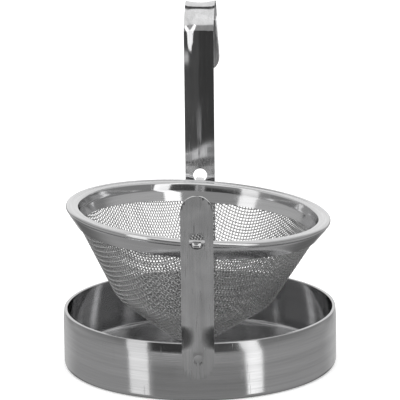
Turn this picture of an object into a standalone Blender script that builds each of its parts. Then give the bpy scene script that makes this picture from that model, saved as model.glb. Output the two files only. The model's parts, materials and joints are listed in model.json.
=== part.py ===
# Swivelling tea strainer on a drip dish.
# A mesh basket hangs by two tongues in the holes of two upright strips, which are riveted to a
# shallow round dish. The rear strip runs on upwards as the handle and ends in a hook.
# Origin: centre of the dish's underside. +Z is up, the short post is at -Y, the handle at +Y.

import math

import bmesh
import bpy
from mathutils import Matrix, Vector

# Dish
DISH_RADIUS = 0.0380
DISH_HEIGHT = 0.0160
DISH_WALL = 0.0009
DISH_FLOOR = 0.0008
DISH_CORNER = 0.0012          # radius where wall and floor meet

# Upright strips
STRIP_WIDTH = 0.0086
STRIP_THICKNESS = 0.0010
STRIP_FOOT = 0.0067           # height of the strips' rounded lower ends
POST_ABOVE_PIVOT = 0.0121     # from the pivot to the top of the front post
HANDLE_ABOVE_PIVOT = 0.0494   # from the pivot to the top of the hook
FOOT_HOLLOW = 0.00050         # how far a foot's edges stand proud of its middle
FLAT_BELOW_LIP = 0.0016       # a strip turns from its hollow foot to flat over these two heights
FLAT_ABOVE_LIP = 0.0046
HANDLE_LEAN = math.radians(2.5)    # of the handle, away from the basket
LEAN_ABOVE_PIVOT = 0.0045     # where the handle starts to lean
HOOK_CREASE = math.radians(13)     # sudden tilt just below the hook's bend
CREASE_BELOW = 0.0005
HOLLOW_BELOW_PIVOT = 0.0080   # where the handle starts to be hollow
HOLLOW_LENGTH = 0.0120        # over which it reaches its full hollow
HANDLE_HOLLOW = 0.00055       # how far the handle's edges stand proud of its middle
HOOK_RADIUS = 0.0065          # outer radius of the hook's bend
HOOK_ANGLE = math.radians(176)
HOOK_TAIL = 0.0152            # straight length after the bend
HOOK_SKEW = 0.052             # sideways drift of the hook, per length past the start of the bend

# Rivets
RIVET_HEIGHT = 0.0124
RIVET_SHANK = 0.0009          # radius
RIVET_HEAD = 0.0017           # radius
RIVET_DOME = 0.00045

# Pivot
PIVOT_HOLE = 0.0041           # diameter of the hole in each strip
TONGUE_WIDTH = 0.00235
TONGUE_THICKNESS = 0.00065
TONGUE_PROUD = 0.0010         # how far a tongue stands out of its strip
TONGUE_CLEARANCE = 0.0001     # between a tongue's lower corners and the hole
REST_TILT = math.radians(3.9)

# Basket
RIM_CLEARANCE = 0.0017        # between the rim and a post
RIM_BEAD = 0.0008             # radius of the rolled outer edge
RIM_DROP = 0.00155            # of the bead's middle below the pivot
FLANGE_WIDTH = 0.0034
SHEET = 0.00035               # thickness of the rim's sheet metal
COLLAR_DEPTH = 0.0046
CUP_INSET = 0.0004            # of the mesh at the collar's foot, from the flange's inner edge
MESH_THICKNESS = 0.0004
MESH_TUCK = 0.0012            # how far the mesh runs up between collar and clamp band
UPPER_SLOPE = math.radians(29.3)   # of the cup's side, from the vertical
LOWER_SLOPE = math.radians(54.0)
KNEE_RADIUS = 0.0218
KNEE_FILLET = 0.0090
TIP_FILLET = 0.0120
SWING_CLEARANCE = 0.0046      # between the swinging basket and the dish floor

GAP = 0.0003                  # between pieces that touch on the real strainer
SHEET_GAP = 0.00025           # between the mesh and the two sheets that grip it
TURN_STEPS = 72

# Worked out from the sizes above. Depths are measured down from the middle of the rim's bead.
POST_INNER = DISH_RADIUS + GAP
POST_OUTER = POST_INNER + STRIP_THICKNESS
RIM_RADIUS = POST_INNER - RIM_CLEARANCE
CUP_RADIUS = RIM_RADIUS - FLANGE_WIDTH - CUP_INSET
KNEE_DEPTH = COLLAR_DEPTH + (CUP_RADIUS - KNEE_RADIUS) / math.tan(UPPER_SLOPE)
CONE_DEPTH = KNEE_DEPTH + KNEE_RADIUS / math.tan(LOWER_SLOPE)
TIP_DEPTH = CONE_DEPTH - TIP_FILLET * (1 / math.sin(LOWER_SLOPE) - 1)
SWING_REACH = max(RIM_DROP + TIP_DEPTH, math.hypot(RIM_RADIUS, RIM_DROP))
PIVOT_HEIGHT = DISH_FLOOR + SWING_CLEARANCE + SWING_REACH
FRONT_POST_TOP = PIVOT_HEIGHT + POST_ABOVE_PIVOT
HANDLE_TOP = PIVOT_HEIGHT + HANDLE_ABOVE_PIVOT
FLAT_START = DISH_HEIGHT - FLAT_BELOW_LIP
FLAT_FULL = DISH_HEIGHT + FLAT_ABOVE_LIP
LEAN_START = PIVOT_HEIGHT + LEAN_ABOVE_PIVOT
HOLLOW_START = PIVOT_HEIGHT - HOLLOW_BELOW_PIVOT
HOLLOW_FULL = HOLLOW_START + HOLLOW_LENGTH


def clear_scene():
    for obj in list(bpy.data.objects):
        bpy.data.objects.remove(obj, do_unlink=True)


def steel(name, colour, roughness, metallic=1.0):
    material = bpy.data.materials.new(name)
    material.use_nodes = True
    shader = material.node_tree.nodes["Principled BSDF"]
    shader.inputs["Base Color"].default_value = (*colour, 1.0)
    shader.inputs["Roughness"].default_value = roughness
    shader.inputs["Metallic"].default_value = metallic
    return material


def add_object(name, shape, material, parent=None):
    """Turns a bmesh into an object, with its normals facing out and its round faces smooth."""
    bmesh.ops.recalc_face_normals(shape, faces=shape.faces)
    mesh = bpy.data.meshes.new(name)
    shape.to_mesh(mesh)
    shape.free()
    mesh.shade_smooth()
    mesh.set_sharp_from_angle(angle=math.radians(35))
    mesh.materials.append(material)
    obj = bpy.data.objects.new(name, mesh)
    bpy.context.scene.collection.objects.link(obj)
    obj.parent = parent
    return obj


def filleted(corners, radii, steps=4):
    """Rounds the inner corners of an open outline: one radius for each, 0 for a sharp one."""
    outline = [Vector(corners[0])]
    for before, corner, after, radius in zip(corners, corners[1:], corners[2:], radii):
        corner = Vector(corner)
        back = (Vector(before) - corner).normalized()
        ahead = (Vector(after) - corner).normalized()
        half = back.angle(ahead) / 2
        if radius == 0:
            outline.append(corner)
            continue
        centre = corner + (back + ahead).normalized() * (radius / math.sin(half))
        start = corner + back * (radius / math.tan(half)) - centre
        sweep = back.angle_signed(ahead)
        turn = math.copysign(math.pi - 2 * half, sweep)
        for step in range(steps + 1):
            spoke = start.copy()
            spoke.rotate(Matrix.Rotation(turn * step / steps, 2))
            outline.append(centre + spoke)
    outline.append(Vector(corners[-1]))
    return outline


def offset(path, distance):
    """Moves an open outline to its left by distance, keeping its walls parallel."""
    moved = []
    for index, point in enumerate(path):
        runs = []
        if index > 0:
            runs.append((point - path[index - 1]).normalized())
        if index < len(path) - 1:
            runs.append((path[index + 1] - point).normalized())
        normals = [Vector((-run.y, run.x)) for run in runs]
        middle = sum(normals, Vector((0, 0))).normalized()
        moved.append(point + middle * (distance / middle.dot(normals[0])))
    return moved


def turned(outline, closed, steps=TURN_STEPS):
    """Spins an outline of (radius, height) points about Z."""
    shape = bmesh.new()
    points = [shape.verts.new((point[0], 0, point[1])) for point in outline]
    pairs = list(zip(points, points[1:]))
    if closed:
        pairs.append((points[-1], points[0]))
    edges = [shape.edges.new(pair) for pair in pairs]
    bmesh.ops.spin(
        shape, geom=points + edges, axis=(0, 0, 1), angle=2 * math.pi, steps=steps, use_merge=True
    )
    bmesh.ops.remove_doubles(shape, verts=shape.verts, dist=1e-6)
    return shape


def smooth_step(value, start, end):
    share = min(max((value - start) / (end - start), 0), 1)
    return share * share * (3 - 2 * share)


def flat_strip(length, along_cuts, across_cuts=6, end_steps=12):
    """A flat strip with round ends: X across, Z along from 0 to length, Y the thickness."""
    radius = STRIP_WIDTH / 2
    shape = bmesh.new()
    corners = []
    for middle, first_angle in ((length - radius, 0), (radius, math.pi)):
        for step in range(end_steps + 1):
            angle = first_angle + math.pi * step / end_steps
            across = radius * math.cos(angle)
            corners.append(shape.verts.new((across, 0, middle + radius * math.sin(angle))))
    face = shape.faces.new(corners)
    thick = bmesh.ops.extrude_face_region(shape, geom=[face])
    far_side = [item for item in thick["geom"] if isinstance(item, bmesh.types.BMVert)]
    bmesh.ops.translate(shape, verts=far_side, vec=(0, STRIP_THICKNESS, 0))
    planes = [((0, 0, height), (0, 0, 1)) for height in along_cuts]
    for cut in range(1, across_cuts):
        planes.append(((STRIP_WIDTH * (cut / across_cuts - 0.5), 0, 0), (1, 0, 0)))
    for point, normal in planes:
        everything = shape.verts[:] + shape.edges[:] + shape.faces[:]
        bmesh.ops.bisect_plane(shape, geom=everything, plane_co=point, plane_no=normal)
    return shape


def foot_hollow(across, height):
    """How far a strip's face stands out here, because its edges stand proud round the weld."""
    share = 1 - smooth_step(height, FLAT_START, FLAT_FULL)
    return FOOT_HOLLOW * (2 * across / STRIP_WIDTH) ** 2 * share


def front_post_shape():
    length = FRONT_POST_TOP - STRIP_FOOT
    blend = FLAT_FULL - FLAT_START
    cuts = [FLAT_START - STRIP_FOOT + blend * step / 4 for step in range(5)]
    shape = flat_strip(length, cuts)
    for vert in shape.verts:
        across, through, along = vert.co
        height = STRIP_FOOT + along
        vert.co = (across, -POST_INNER - through - foot_hollow(across, height), height)
    return shape


def handle_shape():
    """The rear strip: a straight post and handle, then the hook, which bends away from the basket."""
    bend_height = HANDLE_TOP - HOOK_RADIUS
    straight = bend_height - STRIP_FOOT
    bend_length = HOOK_ANGLE * HOOK_RADIUS
    cuts = [FLAT_START - STRIP_FOOT + (FLAT_FULL - FLAT_START) * step / 3 for step in range(4)]
    cuts.append(LEAN_START - STRIP_FOOT)
    cuts.append(straight - CREASE_BELOW)
    cuts += [HOLLOW_START - STRIP_FOOT + (HOLLOW_FULL - HOLLOW_START) * step / 3 for step in range(4)]
    cuts += [straight + bend_length * step / 14 for step in range(15)]
    shape = flat_strip(straight + bend_length + HOOK_TAIL, cuts)
    for vert in shape.verts:
        across, through, along = vert.co
        height = STRIP_FOOT + along
        on_handle = HANDLE_HOLLOW * (2 * across / STRIP_WIDTH) ** 2
        on_handle *= smooth_step(height, HOLLOW_START, HOLLOW_FULL)
        inwards = on_handle - foot_hollow(across, height) - through
        past = max(along - straight, 0)
        angle = min(past / HOOK_RADIUS, HOOK_ANGLE)
        tail = max(past - bend_length, 0)
        reach = HOOK_RADIUS + inwards
        up = min(height, bend_height) + reach * math.sin(angle) + tail * math.cos(angle)
        back = HOOK_RADIUS - reach * math.cos(angle) + tail * math.sin(angle)
        leant = max(up - LEAN_START, 0) * math.tan(HANDLE_LEAN)
        climbed = min(height, bend_height) + reach * math.sin(min(angle, math.pi / 2))
        leant += max(climbed - bend_height + CREASE_BELOW, 0) * math.tan(HOOK_CREASE)
        vert.co = (across + HOOK_SKEW * past, POST_INNER + back + leant, up)
    return shape


def side_cutter(name, radius, y_low, y_high, height):
    """A cylinder along Y that cuts a round hole."""
    shape = bmesh.new()
    bmesh.ops.create_cone(
        shape, cap_ends=True, segments=32, radius1=radius, radius2=radius, depth=y_high - y_low
    )
    bmesh.ops.rotate(shape, verts=shape.verts, matrix=Matrix.Rotation(math.pi / 2, 3, "X"))
    bmesh.ops.recalc_face_normals(shape, faces=shape.faces)
    mesh = bpy.data.meshes.new(name)
    shape.to_mesh(mesh)
    shape.free()
    cutter = bpy.data.objects.new(name, mesh)
    cutter.location = (0, (y_low + y_high) / 2, height)
    cutter.hide_render = True
    cutter.display_type = "WIRE"
    bpy.context.scene.collection.objects.link(cutter)
    return cutter


def cut(obj, cutter):
    modifier = obj.modifiers.new(cutter.name, "BOOLEAN")
    modifier.operation = "DIFFERENCE"
    modifier.solver = "EXACT"
    modifier.object = cutter


def make_dish(material):
    inner = DISH_RADIUS - DISH_WALL
    edge = DISH_WALL * 0.35
    corners = [
        (0, 0),
        (DISH_RADIUS, 0),
        (DISH_RADIUS, DISH_HEIGHT),
        (inner, DISH_HEIGHT),
        (inner, DISH_FLOOR),
        (0, DISH_FLOOR),
    ]
    outline = filleted(corners, (DISH_CORNER, edge, edge, DISH_CORNER), steps=3)
    return add_object("drip_dish", turned(outline, closed=False), material)


def make_rivet(name, side, material):
    """A rivet through the dish wall and a strip: low dome outside, thin flat head inside."""
    head_base = POST_OUTER + GAP
    inner_face = DISH_RADIUS - DISH_WALL - GAP
    outline = [
        (0, inner_face - RIVET_DOME),
        (RIVET_HEAD, inner_face - RIVET_DOME),
        (RIVET_HEAD, inner_face),
        (RIVET_SHANK, inner_face),
        (RIVET_SHANK, head_base),
        (RIVET_HEAD, head_base),
        (RIVET_HEAD * 0.75, head_base + RIVET_DOME * 0.7),
        (0, head_base + RIVET_DOME),
    ]
    shape = turned(outline, closed=False, steps=20)
    bmesh.ops.rotate(shape, verts=shape.verts, matrix=Matrix.Rotation(-side * math.pi / 2, 3, "X"))
    bmesh.ops.translate(shape, verts=shape.verts, vec=(0, 0, RIVET_HEIGHT))
    return add_object(name, shape, material)


def make_stand(strip_steel, dish_steel, rivet_steel):
    dish = make_dish(dish_steel)
    front_post = add_object("front_post", front_post_shape(), strip_steel)
    handle = add_object("handle", handle_shape(), strip_steel)
    wall_inside = DISH_RADIUS - 4 * DISH_WALL
    beyond = POST_OUTER + 4 * DISH_WALL
    for strip, side_name, low, high in (
        (front_post, "front", -beyond, -wall_inside),
        (handle, "rear", wall_inside, beyond),
    ):
        hole = RIVET_SHANK + GAP
        rivet_hole = side_cutter(side_name + "_rivet_hole", hole, low, high, RIVET_HEIGHT)
        cut(strip, rivet_hole)
        cut(dish, rivet_hole)
        cut(strip, side_cutter(side_name + "_pivot_hole", PIVOT_HOLE / 2, low, high, PIVOT_HEIGHT))
    make_rivet("front_rivet", -1, rivet_steel)
    make_rivet("rear_rivet", 1, rivet_steel)


def cup_radius(depth):
    """Outer radius of the cup's straight upper side."""
    return CUP_RADIUS + (COLLAR_DEPTH - depth) * math.tan(UPPER_SLOPE)


def make_rim_ring(material, parent):
    """Collar, flange and rolled edge, folded from one ring of sheet."""
    bead_middle = Vector((RIM_RADIUS - RIM_BEAD, -RIM_DROP))
    inner_edge = (RIM_RADIUS - FLANGE_WIDTH, -RIM_DROP + RIM_BEAD * 0.6)
    foot = (CUP_RADIUS - MESH_THICKNESS - SHEET_GAP - SHEET, -RIM_DROP - COLLAR_DEPTH)
    path = filleted((foot, inner_edge, bead_middle + Vector((0, RIM_BEAD))), (SHEET * 2,), steps=3)
    for step in range(1, 7):
        angle = math.radians(90 - 205 * step / 6)
        path.append(bead_middle + RIM_BEAD * Vector((math.cos(angle), math.sin(angle))))
    inner = offset(path, -SHEET)
    return add_object("rim_ring", turned(path + inner[::-1], closed=True), material, parent)


def make_clamp_band(material, parent):
    """The tapered ring outside, which presses the mesh against the collar."""
    top = Vector((RIM_RADIUS - RIM_BEAD * 0.6, -RIM_DROP - RIM_BEAD - GAP))
    foot = Vector((CUP_RADIUS + SHEET_GAP + SHEET, -RIM_DROP - COLLAR_DEPTH))
    path = [top, foot]
    inner = offset(path, -SHEET)
    return add_object("clamp_band", turned(path + inner[::-1], closed=True), material, parent)


def make_mesh_cup(material, parent):
    """The woven cup as a plain shell: a cone, a flatter cone below it and a rounded tip."""
    top_depth = COLLAR_DEPTH - MESH_TUCK
    corners = [
        (cup_radius(top_depth), -RIM_DROP - top_depth),
        (KNEE_RADIUS, -RIM_DROP - KNEE_DEPTH),
        (0, -RIM_DROP - CONE_DEPTH),
    ]
    outer = filleted(corners, (KNEE_FILLET,), steps=4)
    outer.pop()
    dome_middle = -RIM_DROP - TIP_DEPTH + TIP_FILLET
    dome_angle = math.pi / 2 - LOWER_SLOPE
    for step in range(4):
        angle = dome_angle * (1 - step / 3)
        outer.append(Vector((TIP_FILLET * math.sin(angle), dome_middle - TIP_FILLET * math.cos(angle))))
    inner = offset(outer, -MESH_THICKNESS)
    inner[-1].x = 0
    return add_object("mesh_cup", turned(inner[::-1] + outer, closed=False), material, parent)


def tongue_offset():
    """How far a tongue's middle lies below the pivot, when its corners rest in the hole."""
    reach = PIVOT_HOLE / 2 - TONGUE_CLEARANCE
    return math.sqrt(reach**2 - (TONGUE_WIDTH / 2) ** 2) - TONGUE_THICKNESS / 2


def make_tongue(name, side, material, parent):
    start = RIM_RADIUS + GAP
    end = POST_OUTER + TONGUE_PROUD
    shape = bmesh.new()
    bmesh.ops.create_cube(shape, size=1)
    bmesh.ops.scale(shape, verts=shape.verts, vec=(TONGUE_WIDTH, end - start, TONGUE_THICKNESS))
    tip = [
        edge
        for edge in shape.edges
        if edge.verts[0].co.x == edge.verts[1].co.x
        and edge.verts[0].co.y == edge.verts[1].co.y
        and edge.verts[0].co.y * side > 0
    ]
    bmesh.ops.bevel(
        shape, geom=tip, offset=TONGUE_WIDTH * 0.25, segments=3, profile=0.5, affect="EDGES"
    )
    middle = (0, side * (start + end) / 2, -tongue_offset())
    bmesh.ops.translate(shape, verts=shape.verts, vec=middle)
    return add_object(name, shape, material, parent)


def make_basket(rim_steel, mesh_steel):
    pivot = bpy.data.objects.new("basket_pivot", None)
    pivot.location = (0, 0, PIVOT_HEIGHT)
    pivot.rotation_euler = (0, REST_TILT, 0)
    bpy.context.scene.collection.objects.link(pivot)
    make_rim_ring(rim_steel, pivot)
    make_clamp_band(rim_steel, pivot)
    make_mesh_cup(mesh_steel, pivot)
    make_tongue("front_tongue", -1, rim_steel, pivot)
    make_tongue("rear_tongue", 1, rim_steel, pivot)


def main():
    clear_scene()
    strip_steel = steel("strip_steel", (0.44, 0.44, 0.45), 0.28)
    dish_steel = steel("dish_steel", (0.50, 0.50, 0.51), 0.22)
    rivet_steel = steel("rivet_steel", (0.48, 0.48, 0.48), 0.30)
    rim_steel = steel("rim_steel", (0.72, 0.72, 0.73), 0.12)
    mesh_steel = steel("mesh_steel", (0.62, 0.62, 0.62), 0.30)
    make_stand(strip_steel, dish_steel, rivet_steel)
    make_basket(rim_steel, mesh_steel)
    bpy.context.view_layer.update()


main()
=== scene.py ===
import json
import math

import bmesh
import bpy
from mathutils import Matrix, Vector


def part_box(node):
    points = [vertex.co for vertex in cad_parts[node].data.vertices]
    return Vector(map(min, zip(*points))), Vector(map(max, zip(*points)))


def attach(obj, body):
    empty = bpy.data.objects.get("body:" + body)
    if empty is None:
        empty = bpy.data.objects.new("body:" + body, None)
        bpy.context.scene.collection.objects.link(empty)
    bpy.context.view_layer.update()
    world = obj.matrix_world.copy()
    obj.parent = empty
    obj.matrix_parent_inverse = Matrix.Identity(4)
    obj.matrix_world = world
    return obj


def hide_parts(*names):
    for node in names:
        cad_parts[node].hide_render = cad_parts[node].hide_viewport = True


mm = 0.001
tiny = 0.001 * mm                  # points nearer than this are one point
roundSegments = 6                  # in a rounded corner
roundedAbove = math.radians(60)    # edges that turn more than this are rounded

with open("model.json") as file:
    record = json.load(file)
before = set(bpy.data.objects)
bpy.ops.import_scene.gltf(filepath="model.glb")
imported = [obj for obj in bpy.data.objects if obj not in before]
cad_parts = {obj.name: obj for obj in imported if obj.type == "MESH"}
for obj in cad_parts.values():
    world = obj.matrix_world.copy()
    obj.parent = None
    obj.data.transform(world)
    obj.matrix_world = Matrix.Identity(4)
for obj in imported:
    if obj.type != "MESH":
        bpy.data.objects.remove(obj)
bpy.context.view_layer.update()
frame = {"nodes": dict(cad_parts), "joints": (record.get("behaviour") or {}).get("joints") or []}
pivot = Vector(frame["joints"][0]["pos_m"])
restTilt = math.radians(3.9)  # the basket hangs lower on its +X side
print("frame loaded, pivot at", tuple(pivot))

scene = bpy.context.scene
scene.view_settings.view_transform = "Standard"


# the camera stands in front of the short post, a little to the right and above
cameraSet = {
    "lookAt": Vector((0, 0, 0.045)),
    "distance": 0.650,
    "azimuth": math.radians(0.82),
    "elevation": math.radians(13.36),
    "roll": math.radians(-0.675),
    "lens": 211.86,
    "sensor": 36,
    "shift": (0.00355, 0.00825),
    "clipStart": 0.01,
}


def makeCamera(settings):
    azimuth, elevation, roll = settings["azimuth"], settings["elevation"], settings["roll"]
    back = Vector((
        math.sin(azimuth) * math.cos(elevation),
        -math.cos(azimuth) * math.cos(elevation),
        math.sin(elevation),
    ))
    right = Vector((math.cos(azimuth), math.sin(azimuth), 0))
    up = back.cross(right)
    turnedRight = math.cos(roll) * right + math.sin(roll) * up
    turnedUp = math.cos(roll) * up - math.sin(roll) * right
    camera = bpy.data.objects.new("camera", bpy.data.cameras.new("camera"))
    camera.data.lens = settings["lens"]
    camera.data.sensor_width = settings["sensor"]
    camera.data.shift_x, camera.data.shift_y = settings["shift"]
    camera.data.clip_start = settings["clipStart"]
    placed = Matrix((turnedRight, turnedUp, back)).transposed().to_4x4()
    placed.translation = settings["lookAt"] + settings["distance"] * back
    camera.matrix_world = placed
    scene.collection.objects.link(camera)
    scene.camera = camera


makeCamera(cameraSet)
print("camera set")


def addNode(tree, kind, values=None, **settings):
    # values go to the inputs, as plain values or as sockets to link; settings to the node itself
    node = tree.nodes.new(kind)
    for name, value in settings.items():
        setattr(node, name, value)
    for name, value in (values or {}).items():
        if isinstance(value, bpy.types.NodeSocket):
            tree.links.new(value, node.inputs[name])
        else:
            node.inputs[name].default_value = value
    return node


def addMath(tree, operation, first, second=0.0):
    return addNode(tree, "ShaderNodeMath", {0: first, 1: second}, operation=operation).outputs[0]


def startGroup(name, inputs, outputs):
    # inputs and outputs are name: (socket type, default)
    group = bpy.data.node_groups.new(name, "ShaderNodeTree")
    for socketName, (socketType, default) in inputs.items():
        socket = group.interface.new_socket(name=socketName, in_out="INPUT", socket_type=socketType)
        if default is not None:
            socket.default_value = default
    for socketName in outputs:
        group.interface.new_socket(name=socketName, in_out="OUTPUT", socket_type="NodeSocketFloat")
    return group, group.nodes.new("NodeGroupInput"), group.nodes.new("NodeGroupOutput")


def addStreaks(group, result, place, broadScale, name):
    # fine and broad streaks added up, and the fine ones alone as a height
    fine = addNode(group, "ShaderNodeTexNoise", {"Vector": place, "Scale": 1.0, "Detail": 4.0})
    broad = addNode(group, "ShaderNodeTexNoise", {"Vector": place, "Scale": broadScale, "Detail": 2.0})
    both = addMath(group, "ADD", fine.outputs["Fac"], broad.outputs["Fac"])
    spread = addNode(group, "ShaderNodeMapRange", {"Value": both, "From Min": 0.7, "From Max": 1.3})
    group.links.new(spread.outputs[0], result.inputs[name])
    group.links.new(fine.outputs["Fac"], result.inputs["Height"])


def rolledGrainGroup():
    # fine lines left by rolling the sheet, long along one axis
    inputs = {
        "Vector": ("NodeSocketVector", None),
        "Lines per metre": ("NodeSocketVector", (9000, 9000, 250)),
    }
    group, given, result = startGroup("rolledGrain", inputs, ["Lines", "Height"])
    stretched = addNode(group, "ShaderNodeVectorMath", {
        0: given.outputs["Vector"], 1: given.outputs["Lines per metre"],
    }, operation="MULTIPLY")
    addStreaks(group, result, stretched.outputs[0], broadScale=0.14, name="Lines")
    return group


def turnedMarksGroup():
    # rings round Z, as a polishing wheel leaves on a turned or spun piece
    inputs = {
        "Vector": ("NodeSocketVector", None),
        "Rings per metre": ("NodeSocketFloat", 7000),
        "Broken up": ("NodeSocketFloat", 3.0),
    }
    group, given, result = startGroup("turnedMarks", inputs, ["Rings", "Height"])
    parts = addNode(group, "ShaderNodeSeparateXYZ", {"Vector": given.outputs["Vector"]}).outputs
    squareX, squareY = [addMath(group, "MULTIPLY", parts[axis], parts[axis]) for axis in "XY"]
    distance = addMath(group, "SQRT", addMath(group, "ADD", squareX, squareY))
    rings = addMath(group, "MULTIPLY", distance, given.outputs["Rings per metre"])
    heights = addMath(group, "MULTIPLY", parts["Z"], given.outputs["Rings per metre"])
    # direction round the axis, as a point on a circle, so that the pattern has no seam
    flat = addNode(group, "ShaderNodeCombineXYZ", {"X": parts["X"], "Y": parts["Y"]})
    around = addNode(group, "ShaderNodeVectorMath", {0: flat.outputs[0]}, operation="NORMALIZE")
    broken = addNode(group, "ShaderNodeVectorMath", {
        0: around.outputs[0], "Scale": given.outputs["Broken up"],
    }, operation="SCALE")
    brokenParts = addNode(group, "ShaderNodeSeparateXYZ", {"Vector": broken.outputs[0]}).outputs
    place = addNode(group, "ShaderNodeCombineXYZ", {
        "X": brokenParts["X"], "Y": brokenParts["Y"], "Z": addMath(group, "ADD", rings, heights),
    })
    addStreaks(group, result, place.outputs[0], broadScale=0.12, name="Rings")
    return group


def handlingGroup():
    # wiped smudges and the odd fine scratch
    inputs = {"Vector": ("NodeSocketVector", None), "Smudges per metre": ("NodeSocketFloat", 90.0)}
    group, given, result = startGroup("handling", inputs, ["Smudge", "Scratch"])
    cloudy = addNode(group, "ShaderNodeTexNoise", {
        "Vector": given.outputs["Vector"], "Scale": given.outputs["Smudges per metre"],
        "Detail": 3.0, "Distortion": 0.6,
    })
    smudge = addNode(group, "ShaderNodeMapRange", {
        "Value": cloudy.outputs["Fac"], "From Min": 0.35, "From Max": 0.7,
    })
    group.links.new(smudge.outputs[0], result.inputs["Smudge"])
    tilted = addNode(group, "ShaderNodeMapping", {
        "Vector": given.outputs["Vector"], "Rotation": (0.5, 0.7, 0.4), "Scale": (2600, 130, 130),
    })
    thin = addNode(group, "ShaderNodeTexNoise", {"Vector": tilted.outputs[0], "Scale": 1.0, "Detail": 1.0})
    scratch = addNode(group, "ShaderNodeMapRange", {
        "Value": thin.outputs["Fac"], "From Min": 0.68, "From Max": 0.74,
    })
    group.links.new(scratch.outputs[0], result.inputs["Scratch"])
    return group


rolledGrain = rolledGrainGroup()
turnedMarks = turnedMarksGroup()
handling = handlingGroup()

markDepth = 0.02 * mm
scratchRoughness = 0.12     # what a scratch adds
anisotropicTurn = 0.25


def steelFinish(name, look):
    # one stainless finish, lighter and darker in straight lines on strip, in rings on turned
    # pieces, and on wires a painted highlight on the crowns with painted shade down between the wires
    material = bpy.data.materials.new(name)
    material.use_nodes = True
    tree = material.node_tree
    shader = tree.nodes["Principled BSDF"]
    shader.inputs["Metallic"].default_value = 1.0
    shader.inputs["Anisotropic"].default_value = look.get("anisotropic", 0.0)
    shader.inputs["Anisotropic Rotation"].default_value = anisotropicTurn
    where = addNode(tree, "ShaderNodeTexCoord").outputs["Object"]
    if look["lines"] == "rings":
        marks = addNode(tree, "ShaderNodeGroup", {
            "Vector": where, "Rings per metre": look["perMetre"],
        }, node_tree=turnedMarks)
        lines = marks.outputs["Rings"]
        if look.get("anisotropic"):
            around = addNode(tree, "ShaderNodeTangent", direction_type="RADIAL", axis="Z")
            tree.links.new(around.outputs[0], shader.inputs["Tangent"])
    else:
        marks = addNode(tree, "ShaderNodeGroup", {
            "Vector": where, "Lines per metre": look["perMetre"],
        }, node_tree=rolledGrain)
        lines = marks.outputs["Lines"]
    # on wires the base colour is painted light: a painted highlight on each crown and painted shade down
    # between the wires
    if look["lines"] == "crownHighlightGapShade":
        lines = addNode(tree, "ShaderNodeAttribute", attribute_name="crownHighlightGapShade").outputs["Fac"]
    handled = addNode(tree, "ShaderNodeGroup", {
        "Vector": where, "Smudges per metre": look["smudges"],
    }, node_tree=handling)
    colours = addNode(tree, "ShaderNodeMix", {"Factor": lines}, data_type="RGBA")
    colours.inputs["A"].default_value = (*look["dark"], 1)
    colours.inputs["B"].default_value = (*look["light"], 1)
    tree.links.new(colours.outputs["Result"], shader.inputs["Base Color"])
    polish = addNode(tree, "ShaderNodeMapRange", {
        "Value": handled.outputs["Smudge"], "To Min": look["roughness"][0], "To Max": look["roughness"][1],
    })
    scratched = addMath(tree, "MULTIPLY", handled.outputs["Scratch"], scratchRoughness)
    tree.links.new(addMath(tree, "ADD", polish.outputs[0], scratched), shader.inputs["Roughness"])
    bump = addNode(tree, "ShaderNodeBump", {
        "Height": marks.outputs["Height"], "Strength": look["bump"], "Distance": markDepth,
    })
    tree.links.new(bump.outputs[0], shader.inputs["Normal"])
    return material


dishSteel = steelFinish("dishSteel", {
    "lines": "rings", "perMetre": 5000.0, "smudges": 60.0, "anisotropic": 0.6,
    "dark": (0.52, 0.52, 0.525), "light": (0.64, 0.64, 0.645), "roughness": (0.10, 0.18), "bump": 0.25,
})
postSteel = steelFinish("postSteel", {
    "lines": "straight", "perMetre": (4500, 4500, 90), "smudges": 120.0,
    "dark": (0.53, 0.53, 0.535), "light": (0.64, 0.64, 0.645), "roughness": (0.16, 0.22), "bump": 0.2,
})
handleSteel = steelFinish("handleSteel", {
    "lines": "straight", "perMetre": (3500, 3500, 60), "smudges": 90.0,
    "dark": (0.66, 0.66, 0.665), "light": (0.80, 0.80, 0.805), "roughness": (0.06, 0.12), "bump": 0.15,
})
rimSteel = steelFinish("rimSteel", {
    "lines": "rings", "perMetre": 4000.0, "smudges": 80.0,
    "dark": (0.66, 0.66, 0.665), "light": (0.76, 0.76, 0.765), "roughness": (0.06, 0.13), "bump": 0.12,
})
# light is a painted highlight on the wire crowns, dark is painted shade between the wires
wireSteel = steelFinish("wireSteel", {
    "lines": "crownHighlightGapShade", "perMetre": (6000, 6000, 6000), "smudges": 150.0,
    "dark": (0.36, 0.36, 0.36), "light": (0.95, 0.95, 0.95), "roughness": (0.22, 0.34), "bump": 0.1,
})
print("finishes made")


def newPiece(name, shape, finish, body, replaced, sharpAngle=40, weighted=False):
    if shape.calc_volume(signed=True) < 0:
        bmesh.ops.reverse_faces(shape, faces=shape.faces[:])
    mesh = bpy.data.meshes.new(name)
    shape.to_mesh(mesh)
    shape.free()
    mesh.shade_smooth()
    mesh.set_sharp_from_angle(angle=math.radians(sharpAngle))
    mesh.materials.append(finish)
    piece = bpy.data.objects.new(name, mesh)
    scene.collection.objects.link(piece)
    if weighted:
        even = piece.modifiers.new("evenNormals", "WEIGHTED_NORMAL")
        even.keep_sharp = True
    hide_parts(*replaced)
    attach(piece, body)
    return piece


def profileLine(shape, corners):
    # an open outline in the XZ plane; each corner is (distance from the axis, height, rounding)
    points = [shape.verts.new((across, 0, up)) for across, up, rounding in corners]
    for pair in zip(points, points[1:]):
        shape.edges.new(pair)
    for before, corner, after, point in zip(corners, corners[1:], corners[2:], points[1:]):
        if corner[2] == 0:
            continue
        back = Vector(before[:2]) - Vector(corner[:2])
        ahead = Vector(after[:2]) - Vector(corner[:2])
        half = back.angle(ahead) / 2
        bmesh.ops.bevel(
            shape, geom=[point], offset=corner[2] / math.tan(half), offset_type="OFFSET",
            segments=roundSegments, profile=0.5, affect="VERTICES", material=-1,
        )


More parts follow.
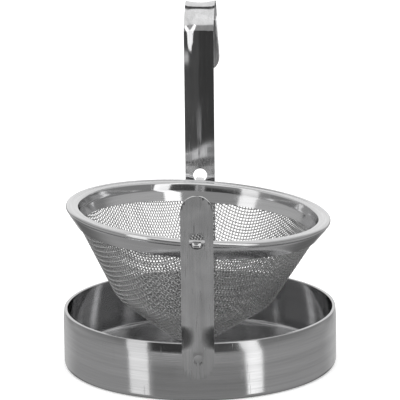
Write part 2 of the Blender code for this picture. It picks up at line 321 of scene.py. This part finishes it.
def turned(corners, steps, wall=0):
    # the outline spun round Z, and thickened if it is a sheet
    shape = bmesh.new()
    profileLine(shape, corners)
    bmesh.ops.spin(
        shape, geom=shape.verts[:] + shape.edges[:], axis=(0, 0, 1), cent=(0, 0, 0),
        angle=2 * math.pi, steps=steps, use_merge=True,
    )
    bmesh.ops.remove_doubles(shape, verts=shape.verts, dist=tiny)
    bmesh.ops.recalc_face_normals(shape, faces=shape.faces)
    if wall:
        bmesh.ops.solidify(shape, geom=shape.faces[:], thickness=wall)
    return shape


def smoothStep(value, start, end):
    share = min(max((value - start) / (end - start), 0), 1)
    return share * share * (3 - 2 * share)


# the basket is modelled level, with its pivot line at Z = 0, then hung at its rest tilt
hang = Matrix.Translation(pivot) @ Matrix.Rotation(restTilt, 4, "Y")


def levelSizes(node):
    # (inner radius, outer radius, lowest, highest) of a basket node, in the level frame
    spots = [hang.inverted() @ vert.co for vert in frame["nodes"][node].data.vertices]
    radii = [math.hypot(spot.x, spot.y) for spot in spots]
    heights = [spot.z for spot in spots]
    return min(radii), max(radii), min(heights), max(heights)


dish = {
    "wall": 0.9 * mm,
    "floor": 0.8 * mm,
    "corner": 1.2 * mm,
    "lip": 0.25 * mm,
    "rollIn": 0.27 * mm,   # the wall leans in a little below the lip
    "rollHeight": 2.6 * mm,
    "rollRounding": 10.4 * mm,
    "steps": 180,
}


def makeDish(settings, finish):
    low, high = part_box("drip_dish")
    radius, height = high.x, high.z
    inner = radius - settings["wall"]
    lean, start = settings["rollIn"], height - settings["rollHeight"]
    corners = [
        (0, 0, 0),
        (radius, 0, settings["corner"]),
        (radius, start, settings["rollRounding"]),
        (radius - lean, height, settings["lip"]),
        (inner - lean, height, settings["lip"]),
        (inner, start, 0),
        (inner, settings["floor"], settings["corner"]),
        (0, settings["floor"], 0),
    ]
    shape = turned(corners, settings["steps"])
    newPiece("dripDish", shape, finish, "stand", ["drip_dish"])


makeDish(dish, dishSteel)
print("dish made")


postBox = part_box("front_post")
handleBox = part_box("handle")
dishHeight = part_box("drip_dish")[1].z

stripThickness = 1.0 * mm
strip = {
    "width": postBox[1].x - postBox[0].x,
    "thickness": stripThickness,
    "inner": -postBox[0].y - stripThickness,   # from the dish's axis to the strip's inner face
    "foot": postBox[0].z,
    "footHollow": 0.75 * mm,   # how far a foot's edges stand proud of its middle
    "footPower": 1.1,          # 1 would be a V across the foot, 2 a round hollow
    "flatStart": dishHeight - 1.6 * mm,
    "flatFull": dishHeight + 6.0 * mm,
    "pivotHole": 2.05 * mm,
    "rivetHole": 1.2 * mm,
    "rivetHeight": 12.4 * mm,
    "edge": 0.2 * mm,          # rounding of the stamped edges
    "edgeSegments": 3,
    "endSegments": 64,
    "holeSegments": 40,
    "acrossCuts": 12,
    "footCuts": 12,
    "sharpAngle": 35,
}
hook = {
    "radius": 6.5 * mm,
    "angle": math.radians(176),
    "tail": 15.2 * mm,
    "skew": 0.052,           # sideways drift per length past the start of the bend
    "lean": math.radians(2.5),
    "leanStart": pivot.z + 2.0 * mm,
    "leanBlend": 5.0 * mm,
    "crease": math.radians(13),   # how sharply the hook's bend starts
    "creaseBelow": 0.5 * mm,
    "dent": 0.5 * mm,        # extra hollow in the left half where the bend starts
    "dentBelow": 13.0 * mm,
    "dentFull": 3.0 * mm,
    "dentAbove": 6.0 * mm,
    "dentAcross": (0.1, 0.85),    # where the dent starts and is full, in half widths
    "hollow": 0.55 * mm,
    "hollowStart": pivot.z - 8.0 * mm,
    "hollowFull": pivot.z + 4.0 * mm,
    "footCuts": 8,
    "leanCuts": 6,
    "dentCuts": 10,
    "hollowCuts": 10,
    "bendCuts": 36,
}


def flatStrip(length, settings, alongCuts, holes):
    # X across, Z along from 0 to length, Y the thickness
    radius = settings["width"] / 2
    shape = bmesh.new()
    bmesh.ops.create_circle(shape, cap_ends=False, segments=settings["endSegments"], radius=radius)
    upright = Matrix.Rotation(math.pi / 2, 3, "X")
    bmesh.ops.rotate(shape, verts=shape.verts, matrix=upright)
    for vert in shape.verts:
        vert.co.z += radius if vert.co.z < 0 else length - radius
    for height, holeRadius in holes:
        ring = bmesh.ops.create_circle(
            shape, cap_ends=False, segments=settings["holeSegments"], radius=holeRadius,
        )["verts"]
        bmesh.ops.rotate(shape, verts=ring, matrix=upright)
        bmesh.ops.translate(shape, verts=ring, vec=(0, 0, height))
    filled = bmesh.ops.triangle_fill(shape, use_beauty=True, edges=shape.edges[:])
    faces = [item for item in filled["geom"] if isinstance(item, bmesh.types.BMFace)]
    thick = bmesh.ops.extrude_face_region(shape, geom=faces)
    farSide = [item for item in thick["geom"] if isinstance(item, bmesh.types.BMVert)]
    bmesh.ops.translate(shape, verts=farSide, vec=(0, settings["thickness"], 0))
    bmesh.ops.recalc_face_normals(shape, faces=shape.faces)
    outline = [edge for edge in shape.edges if edge.calc_face_angle() > roundedAbove]
    bmesh.ops.bevel(
        shape, geom=outline, offset=settings["edge"], offset_type="OFFSET",
        segments=settings["edgeSegments"], profile=0.5, affect="EDGES", material=-1,
        clamp_overlap=True,
    )
    planes = [((0, 0, height), (0, 0, 1)) for height in alongCuts]
    for cut in range(1, settings["acrossCuts"]):
        planes.append(((settings["width"] * (cut / settings["acrossCuts"] - 0.5), 0, 0), (1, 0, 0)))
    for point, normal in planes:
        everything = shape.verts[:] + shape.edges[:] + shape.faces[:]
        bmesh.ops.bisect_plane(shape, geom=everything, plane_co=point, plane_no=normal, dist=tiny)
    return shape


def stripHoles(settings):
    # (height above the foot, radius) of the pivot hole and the rivet hole
    foot = settings["foot"]
    return [
        (pivot.z - foot, settings["pivotHole"]),
        (settings["rivetHeight"] - foot, settings["rivetHole"]),
    ]


def footHollow(across, height, settings):
    share = 1 - smoothStep(height, settings["flatStart"], settings["flatFull"])
    return settings["footHollow"] * abs(2 * across / settings["width"]) ** settings["footPower"] * share


def evenCuts(start, end, count):
    return [start + (end - start) * step / count for step in range(count + 1)]


def makeFrontPost(settings, finish):
    foot = settings["foot"]
    length = postBox[1].z - foot
    cuts = evenCuts(settings["flatStart"] - foot, settings["flatFull"] - foot, settings["footCuts"])
    shape = flatStrip(length, settings, cuts, stripHoles(settings))
    for vert in shape.verts:
        across, through, along = vert.co
        height = foot + along
        proud = footHollow(across, height, settings)
        vert.co = (across, -settings["inner"] - through - proud, height)
    newPiece(
        "frontPost", shape, finish, "stand", ["front_post"],
        settings["sharpAngle"], weighted=True,
    )


def leanBack(up, bend):
    # how far the lean has carried the handle back at this height
    above = max(up - bend["leanStart"], 0)
    blended = min(above, bend["leanBlend"])
    return (blended**2 / (2 * bend["leanBlend"]) + above - blended) * math.tan(bend["lean"])


def makeHandle(settings, bend, finish):
    foot = settings["foot"]
    bendHeight = handleBox[1].z - bend["hollow"] - bend["radius"]
    straight = bendHeight - foot
    bendLength = bend["angle"] * bend["radius"]
    leanFull = bend["leanStart"] + bend["leanBlend"]
    cuts = evenCuts(settings["flatStart"] - foot, settings["flatFull"] - foot, bend["footCuts"])
    cuts += evenCuts(bend["leanStart"] - foot, leanFull - foot, bend["leanCuts"])
    cuts += evenCuts(straight - bend["dentBelow"], straight, bend["dentCuts"])
    cuts.append(straight - bend["creaseBelow"])
    cuts += evenCuts(bend["hollowStart"] - foot, bend["hollowFull"] - foot, bend["hollowCuts"])
    cuts += evenCuts(straight, straight + bendLength, bend["bendCuts"])
    length = straight + bendLength + bend["tail"]
    shape = flatStrip(length, settings, cuts, stripHoles(settings))
    for vert in shape.verts:
        across, through, along = vert.co
        height = foot + along
        hollow = bend["hollow"] * smoothStep(height, bend["hollowStart"], bend["hollowFull"])
        dented = smoothStep(along, straight - bend["dentBelow"], straight - bend["dentFull"])
        dented -= smoothStep(along, straight, straight + bend["dentAbove"])
        outwards = abs(2 * across / settings["width"])
        hollow *= outwards**2
        if across < 0:
            hollow += bend["dent"] * dented * smoothStep(outwards, *bend["dentAcross"])
        inwards = hollow - footHollow(across, height, settings) - through
        # round the bend, then on along the tail
        past = max(along - straight, 0)
        angle = min(past / bend["radius"], bend["angle"])
        tail = max(past - bendLength, 0)
        reach = bend["radius"] + inwards
        back = bend["radius"] - reach * math.cos(angle) + tail * math.sin(angle)
        up = min(height, bendHeight) + reach * math.sin(angle) + tail * math.cos(angle)
        climbed = min(height, bendHeight) + reach * math.sin(min(angle, math.pi / 2))
        back += leanBack(up, bend)
        back += max(climbed - bendHeight + bend["creaseBelow"], 0) * math.tan(bend["crease"])
        vert.co = (across + bend["skew"] * past, settings["inner"] + back, up)
    newPiece(
        "handleStrip", shape, finish, "stand", ["handle"],
        settings["sharpAngle"], weighted=True,
    )


makeFrontPost(strip, postSteel)
makeHandle(strip, hook, handleSteel)
print("strips made")


rivet = {
    "shank": 0.9 * mm,
    "head": 1.6 * mm,
    "flat": 1.2 * mm,          # radius of the flat on the outer head
    "proud": 0.26 * mm,
    "headDepth": 0.5 * mm,     # from the outer end in the CAD to the underside of the outer head
    "headRim": 0.1 * mm,
    "shoulder": 0.4 * mm,      # rounding between the flat and the head's slope
    "innerHead": 0.42 * mm,    # thickness of the head inside the dish
    "edge": 0.12 * mm,
    "steps": 48,
}


def makeRivet(name, node, side, settings, finish):
    low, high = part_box(node)
    middle = (low.z + high.z) / 2
    outerEnd = max(abs(low.y), abs(high.y))
    innerEnd = min(abs(low.y), abs(high.y))
    outerFace = outerEnd - settings["headDepth"]
    corners = [
        (0, innerEnd, 0),
        (settings["head"], innerEnd, settings["edge"]),
        (settings["head"], innerEnd + settings["innerHead"], settings["edge"]),
        (settings["shank"], innerEnd + settings["innerHead"], 0),
        (settings["shank"], outerFace, 0),
        (settings["head"], outerFace, 0),
        (settings["head"], outerFace + settings["headRim"], 0),
        (settings["flat"], outerFace + settings["proud"], settings["shoulder"]),
        (0, outerFace + settings["proud"], 0),
    ]
    shape = turned(corners, settings["steps"])
    bmesh.ops.rotate(shape, verts=shape.verts, matrix=Matrix.Rotation(-side * math.pi / 2, 3, "X"))
    bmesh.ops.translate(shape, verts=shape.verts, vec=(0, 0, middle))
    newPiece(name, shape, finish, "stand", [node])


makeRivet("frontRivet", "front_rivet", -1, rivet, postSteel)
makeRivet("rearRivet", "rear_rivet", 1, rivet, postSteel)
print("rivets made")


rim = {
    "sheet": 0.35 * mm,
    "bead": 0.8 * mm,          # outer radius of the rolled edge
    "beadStart": math.radians(125),
    "beadEnd": math.radians(-115),
    "beadSteps": 12,
    "flange": 3.4 * mm,
    "flangeHeight": 0.6,       # above the bead's middle, in bead radii
    "waistIn": 0.33 * mm,      # the collar gets steeper this far inside the flange's inner edge
    "waistUp": 2.7 * mm,
    "waistRounding": 3.0 * mm,
    "innerDrop": 0.15 * mm,    # the flange's inner edge lies this far below its level
    "innerRounding": 0.6 * mm,
    "crownOut": 1.0 * mm,      # the flange is highest this far out from its inner edge
    "crownUp": 0.16 * mm,
    "crownRounding": 1.0 * mm,
    "groove": 0.10 * mm,
    "grooveAt": 0.95,          # inwards from the bead's middle, in bead radii
    "grooveRounding": 0.5 * mm,
    "steps": 200,
}
band = {
    "sheet": rim["sheet"],
    "lipIn": 0.245 * mm,
    "lipDrop": 0.42 * mm,
    "lipRounding": 0.7 * mm,
    "steps": rim["steps"],
}


def hungPiece(name, shape, finish, replaced):
    bmesh.ops.transform(shape, verts=shape.verts, matrix=hang)
    return newPiece(name, shape, finish, "basket", replaced)


def makeRim(settings, finish):
    inner, outer, low, high = levelSizes("rim_ring")
    bead = settings["bead"]
    beadMiddle = Vector((outer - bead, high - bead))
    innerEdge = outer - settings["flange"]
    flangeTop = beadMiddle.y + bead * settings["flangeHeight"]
    grooveAt = beadMiddle.x - bead * settings["grooveAt"]
    corners = [
        (inner, low, 0),
        (innerEdge - settings["waistIn"], low + settings["waistUp"], settings["waistRounding"]),
        (innerEdge, flangeTop - settings["innerDrop"], settings["innerRounding"]),
        (innerEdge + settings["crownOut"], flangeTop + settings["crownUp"], settings["crownRounding"]),
        (grooveAt, flangeTop - settings["groove"], settings["grooveRounding"]),
    ]
    for angle in evenCuts(settings["beadStart"], settings["beadEnd"], settings["beadSteps"]):
        corners.append((beadMiddle.x + bead * math.cos(angle), beadMiddle.y + bead * math.sin(angle), 0))
    shape = turned(corners, settings["steps"], wall=settings["sheet"])
    hungPiece("rimRing", shape, finish, ["rim_ring"])


def makeBand(settings, finish):
    inner, outer, low, high = levelSizes("clamp_band")
    corners = [
        (outer, high, 0),
        (outer - settings["lipIn"], high - settings["lipDrop"], settings["lipRounding"]),
        (inner + settings["sheet"], low, 0),
    ]
    shape = turned(corners, settings["steps"], wall=settings["sheet"])
    hungPiece("clampBand", shape, finish, ["clamp_band"])


makeRim(rim, rimSteel)
makeBand(band, rimSteel)
print("rim made")


weave = {
    "pitch": 0.92 * mm,      # between crossings, along each wire
    "wire": 0.158 * mm,      # wire radius
    "crimp": 0.12 * mm,      # how far a wire waves to each side
    "turn": math.radians(65),
    "halfSkin": 0.2 * mm,    # from the cup's outer face to the wires' middle
    "tuck": 0.6 * mm,        # wire hidden between collar and band
    "kneeRadius": 21.6 * mm,
    "kneeFillet": 9.0 * mm,
    "tipFillet": 12.0 * mm,
    "upperSlope": math.radians(29.3),
    "lowerSlope": math.radians(54.0),
    "pulls": 14,
    "pullShare": 0.8,        # how much of a wrong length one pull puts right
    "crownHighlightFrom": 0.25,       # where the painted highlight on a wire's crown starts and is full, in shares of its full height
    "crownHighlightFull": 0.95,
}


def cupLine(settings):
    # the cup's middle line from the tip to the edge tucked into the rim
    inner, outer, low, high = levelSizes("mesh_cup")
    outer += settings["tuck"] * math.sin(settings["upperSlope"])
    outer -= settings["halfSkin"] * math.cos(settings["upperSlope"])
    high += settings["tuck"] * math.cos(settings["upperSlope"])
    high -= settings["halfSkin"] * math.sin(settings["upperSlope"])
    knee = high - (outer - settings["kneeRadius"]) / math.tan(settings["upperSlope"])
    tip = knee - settings["kneeRadius"] / math.tan(settings["lowerSlope"])
    shape = bmesh.new()
    corners = [
        (-settings["kneeRadius"], knee, 0),
        (0, tip, settings["tipFillet"]),
        (settings["kneeRadius"], knee, settings["kneeFillet"]),
        (outer, high, 0),
    ]
    profileLine(shape, corners)
    spots = sorted((vert.co.x, vert.co.z) for vert in shape.verts if vert.co.x > -tiny)
    shape.free()
    return [Vector(spot) for spot in spots]


def onCup(line, spot):
    # the nearest point of the cup to this spot, and the direction outwards there
    flat = Vector((math.hypot(spot.x, spot.y), spot.z))
    start, end = next((pair for pair in zip(line, line[1:]) if flat.x <= pair[1].x), line[-2:])
    along = (end - start).normalized()
    outwards = Vector((along.y, -along.x))
    flat -= outwards * (flat - start).dot(outwards)
    around = math.atan2(spot.y, spot.x)
    turn = Matrix.Rotation(around, 3, "Z")
    return turn @ Vector((flat.x, 0, flat.y)), turn @ Vector((outwards.x, 0, outwards.y))


def weaveQuarter(settings, line):
    # wires keep their length when the flat cloth is pressed into a cup: every crossing stays one
    # pitch from its two neighbours nearer the tip, and the squares lean over between the axes
    pitch = settings["pitch"]
    edge = line[-1].x
    crossings = {}
    middle = Vector((0, 0, line[0].y))
    for axis in (Vector((1, 0, 0)), Vector((0, 1, 0))):
        spot = middle
        step = 0
        while math.hypot(spot.x, spot.y) < edge:
            crossings[(step, 0) if axis.x else (0, step)] = spot
            onward = onCup(line, spot + axis * pitch)[0]
            for pull in range(settings["pulls"]):
                onward = onCup(line, spot + (onward - spot).normalized() * pitch)[0]
            spot = onward
            step += 1
    reach = step
    for row in range(1, reach):
        for column in range(1, reach):
            first = crossings.get((row - 1, column))
            second = crossings.get((row, column - 1))
            if first is None or second is None:
                break
            spot = onCup(line, first + second - crossings[(row - 1, column - 1)])[0]
            for pull in range(settings["pulls"]):
                for neighbour in (first, second):
                    away = spot - neighbour
                    spot = spot + away.normalized() * (pitch - away.length) * settings["pullShare"]
                spot = onCup(line, spot)[0]
            if math.hypot(spot.x, spot.y) >= edge:
                break
            crossings[(row, column)] = spot
    return crossings


def paintCrownHighlightGapShade(mesh, settings, line):
    # 1 where a wire stands proud of the weave and gets a painted highlight, 0 down between the wires,
    # where shade is painted
    tall = settings["crimp"] + settings["wire"]
    level = hang.inverted()
    crownHighlightGapShade = mesh.attributes.new("crownHighlightGapShade", "FLOAT", "POINT")
    for vert, mark in zip(mesh.vertices, crownHighlightGapShade.data):
        spot = level @ vert.co
        proud = (spot - onCup(line, spot)[0]).length
        mark.value = smoothStep(proud, settings["crownHighlightFrom"] * tall, settings["crownHighlightFull"] * tall)


def makeWires(name, settings, line, quarter, isWeft, finish, replaced):
    reach = max(max(place) for place in quarter)
    curve = bpy.data.curves.new(name, "CURVE")
    curve.dimensions = "3D"
    curve.bevel_depth = settings["wire"]
    curve.bevel_resolution = 0
    curve.use_fill_caps = True
    turn = Matrix.Rotation(settings["turn"], 3, "Z")
    for wire in range(-reach, reach + 1):
        spots = []
        for step in range(-reach, reach + 1):
            row, column = (step, wire) if isWeft else (wire, step)
            crossing = quarter.get((abs(row), abs(column)))
            if crossing is None:
                continue
            mirrored = Vector((
                math.copysign(crossing.x, row), math.copysign(crossing.y, column), crossing.z,
            ))
            place, outwards = onCup(line, mirrored)
            side = 1 if (row + column + isWeft) % 2 else -1
            lifted = turn @ (place + outwards * side * settings["crimp"])
            if spots:
                spots.append((spots[-1] + lifted) / 2)
            spots.append(lifted)
        if len(spots) < 3:
            continue
        spline = curve.splines.new("POLY")
        spline.points.add(len(spots) - 1)
        for point, spot in zip(spline.points, spots):
            point.co = (*(hang @ spot), 1)
    helper = bpy.data.objects.new(name + "Line", curve)
    scene.collection.objects.link(helper)
    bpy.context.view_layer.update()
    mesh = bpy.data.meshes.new_from_object(helper.evaluated_get(bpy.context.evaluated_depsgraph_get()))
    bpy.data.objects.remove(helper)
    mesh.materials.clear()
    mesh.materials.append(finish)
    mesh.shade_smooth()
    # the mask for the painted highlight on wire crowns and the painted shade between the wires
    paintCrownHighlightGapShade(mesh, settings, line)
    piece = bpy.data.objects.new(name, mesh)
    scene.collection.objects.link(piece)
    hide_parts(*replaced)
    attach(piece, "basket")
    print(name, len(mesh.polygons), "faces")


cup = cupLine(weave)
quarter = weaveQuarter(weave, cup)
makeWires("warpWires", weave, cup, quarter, False, wireSteel, ["mesh_cup"])
makeWires("weftWires", weave, cup, quarter, True, wireSteel, [])
print("cup woven")


tongue = {
    "thickness": 0.65 * mm,
    "width": 2.35 * mm,
    "round": 0.6 * mm,       # of the two corners at its free end
    "edge": 0.1 * mm,
    "edgeSegments": 2,
    "inside": 0.9 * mm,      # how far it runs on inwards, under the flange
}


def makeTongue(name, node, side, settings, finish):
    spots = [hang.inverted() @ vert.co for vert in frame["nodes"][node].data.vertices]
    start = min(abs(spot.y) for spot in spots) - settings["inside"]
    end = max(abs(spot.y) for spot in spots)
    middle = sum(spot.z for spot in spots) / len(spots)
    shape = bmesh.new()
    bmesh.ops.create_cube(shape, size=1)
    bmesh.ops.scale(shape, verts=shape.verts, vec=(settings["width"], end - start, settings["thickness"]))
    corners = [
        edge for edge in shape.edges
        if abs(edge.verts[0].co.z - edge.verts[1].co.z) > 0.5 * settings["thickness"]
        and edge.verts[0].co.y * side > 0
    ]
    bmesh.ops.bevel(
        shape, geom=corners, offset=settings["round"], offset_type="OFFSET",
        segments=roundSegments, profile=0.5, affect="EDGES", material=-1,
    )
    rims = [edge for edge in shape.edges if edge.calc_face_angle() > roundedAbove]
    bmesh.ops.bevel(
        shape, geom=rims, offset=settings["edge"], offset_type="OFFSET",
        segments=settings["edgeSegments"], profile=0.5, affect="EDGES", material=-1,
    )
    bmesh.ops.translate(shape, verts=shape.verts, vec=(0, side * (start + end) / 2, middle))
    hungPiece(name, shape, finish, [node])


makeTongue("frontTongue", "front_tongue", -1, tongue, rimSteel)
makeTongue("rearTongue", "rear_tongue", 1, tongue, rimSteel)
print("tongues made")


studio = {
    "floorSize": 6.0,
    "floorColour": (0.92, 0.92, 0.92),
    "floorRoughness": 0.9,
    "floorGlow": 0.35,
}


def makeFloor(settings):
    shape = bmesh.new()
    bmesh.ops.create_grid(shape, x_segments=1, y_segments=1, size=settings["floorSize"] / 2)
    mesh = bpy.data.meshes.new("floor")
    shape.to_mesh(mesh)
    shape.free()
    material = bpy.data.materials.new("palePaper")
    material.use_nodes = True
    shader = material.node_tree.nodes["Principled BSDF"]
    shader.inputs["Base Color"].default_value = (*settings["floorColour"], 1)
    shader.inputs["Roughness"].default_value = settings["floorRoughness"]
    shader.inputs["Emission Color"].default_value = (1, 1, 1, 1)
    shader.inputs["Emission Strength"].default_value = settings["floorGlow"]
    mesh.materials.append(material)
    floor = bpy.data.objects.new("floor", mesh)
    floor.visible_glossy = False
    scene.collection.objects.link(floor)


# azimuth is measured from the camera's side, positive to the right; power is in watts
lights = {
    "leftBox": {
        "azimuth": -51.5, "elevation": 8, "distance": 1.0, "size": (0.33, 1.5),
        "power": 1.2, "lean": 0, "inReflections": True,
    },
    "rightBox": {
        "azimuth": 37, "elevation": 8, "distance": 1.0, "size": (0.26, 1.5),
        "power": 1.45, "lean": 18, "inReflections": True,
    },
    "overhead": {
        "azimuth": 0, "elevation": 88, "distance": 1.3, "size": (1.6, 1.6),
        "power": 9, "lean": 0, "inReflections": False,
    },
}
lightsAim = Vector((0, 0, 0.03))


def makeLight(name, settings):
    azimuth, elevation = math.radians(settings["azimuth"]), math.radians(settings["elevation"])
    away = Vector((
        math.sin(azimuth) * math.cos(elevation),
        -math.cos(azimuth) * math.cos(elevation),
        math.sin(elevation),
    ))
    lamp = bpy.data.lights.new(name, "AREA")
    lamp.shape = "RECTANGLE"
    lamp.size, lamp.size_y = settings["size"]
    lamp.energy = settings["power"]
    light = bpy.data.objects.new(name, lamp)
    turn = away.to_track_quat("Z", "Y").to_matrix().to_4x4()
    light.matrix_world = (
        Matrix.Translation(away * settings["distance"] + lightsAim)
        @ turn @ Matrix.Rotation(math.radians(settings["lean"]), 4, "Z")
    )
    light.visible_camera = False
    light.visible_glossy = settings["inReflections"]
    scene.collection.objects.link(light)


def frontStops(darkest):
    return (
        (0.0, 0.32), (0.28, 0.30), (0.34, 0.23), (0.352, 0.36), (0.363, 0.62), (0.390, 0.62),
        (0.398, darkest), (0.57, darkest), (0.585, 0.30), (0.80, 0.32), (0.83, 0.9), (1.0, 1.0),
    )


# each ramp runs from straight down (0) over level (0.5) to straight up (1), as (place, grey)
worldRamps = {
    "frontLeft": frontStops(0.05),
    "frontRight": frontStops(0.075),
    "round": (
        (0.0, 0.32), (0.42, 0.42), (0.46, 0.24), (0.57, 0.24),
        (0.60, 0.45), (0.80, 0.50), (0.86, 0.8), (1.0, 0.9),
    ),
    "rear": (
        (0.0, 0.12), (0.30, 0.15), (0.34, 0.55), (0.39, 0.55), (0.42, 0.15), (0.46, 0.15),
        (0.49, 0.9), (0.918, 0.9), (0.925, 0.08), (0.97, 0.08), (0.977, 0.95), (1.0, 1.0),
    ),
}
# where one ramp takes over from the next, along X or Y of the level direction
worldFades = {"front": (-0.74, -0.79), "rear": (0.55, 0.9), "right": (-0.03, 0.03)}


def greyRamp(tree, factor, stops):
    node = addNode(tree, "ShaderNodeValToRGB", {"Fac": factor})
    elements = node.color_ramp.elements
    elements[0].position, elements[1].position = stops[0][0], stops[-1][0]
    for position, value in stops[1:-1]:
        elements.new(position)
    for element, (position, value) in zip(elements, stops):
        element.color = (value, value, value, 1)
    return node.outputs["Color"]


def fade(tree, value, ends):
    # 0 at the first end and 1 at the second, smoothly; the first may be the higher one
    falling = ends[0] > ends[1]
    return addNode(tree, "ShaderNodeMapRange", {
        "Value": value, "From Min": min(ends), "From Max": max(ends),
        "To Min": float(falling), "To Max": float(not falling),
    }, interpolation_type="SMOOTHSTEP")


def mixed(tree, share, first, second):
    mix = addNode(tree, "ShaderNodeMix", {"Factor": share.outputs[0]}, data_type="RGBA")
    tree.links.new(first, mix.inputs["A"])
    tree.links.new(second, mix.inputs["B"])
    return mix.outputs["Result"]


def makeWorld(ramps, fades):
    surround = bpy.data.worlds.new("studio")
    scene.world = surround
    surround.use_nodes = True
    tree = surround.node_tree
    background = tree.nodes["Background"]
    direction = addNode(tree, "ShaderNodeTexCoord").outputs["Generated"]
    parts = addNode(tree, "ShaderNodeSeparateXYZ", {"Vector": direction})
    upwards = addNode(tree, "ShaderNodeMapRange", {"Value": parts.outputs["Z"], "From Min": -1.0})
    greys = {name: greyRamp(tree, upwards.outputs[0], stops) for name, stops in ramps.items()}
    level = addNode(tree, "ShaderNodeVectorMath", {0: direction, 1: (1, 1, 0)}, operation="MULTIPLY")
    heading = addNode(tree, "ShaderNodeVectorMath", {0: level.outputs[0]}, operation="NORMALIZE")
    headingParts = addNode(tree, "ShaderNodeSeparateXYZ", {"Vector": heading.outputs[0]})
    atFront = fade(tree, headingParts.outputs["Y"], fades["front"])
    atRear = fade(tree, headingParts.outputs["Y"], fades["rear"])
    atRight = fade(tree, headingParts.outputs["X"], fades["right"])
    front = mixed(tree, atRight, greys["frontLeft"], greys["frontRight"])
    allRound = mixed(tree, atFront, greys["round"], front)
    whole = mixed(tree, atRear, allRound, greys["rear"])
    tree.links.new(whole, background.inputs["Color"])
    # the camera itself sees plain white
    plain = addNode(tree, "ShaderNodeBackground", {"Color": (1, 1, 1, 1), "Strength": 1.0})
    seen = addNode(tree, "ShaderNodeLightPath")
    either = addNode(tree, "ShaderNodeMixShader", {0: seen.outputs["Is Camera Ray"]})
    tree.links.new(background.outputs[0], either.inputs[1])
    tree.links.new(plain.outputs[0], either.inputs[2])
    tree.links.new(either.outputs[0], tree.nodes["World Output"].inputs["Surface"])


makeFloor(studio)
for lightName, lightSet in lights.items():
    makeLight(lightName, lightSet)
makeWorld(worldRamps, worldFades)
print("studio lit")
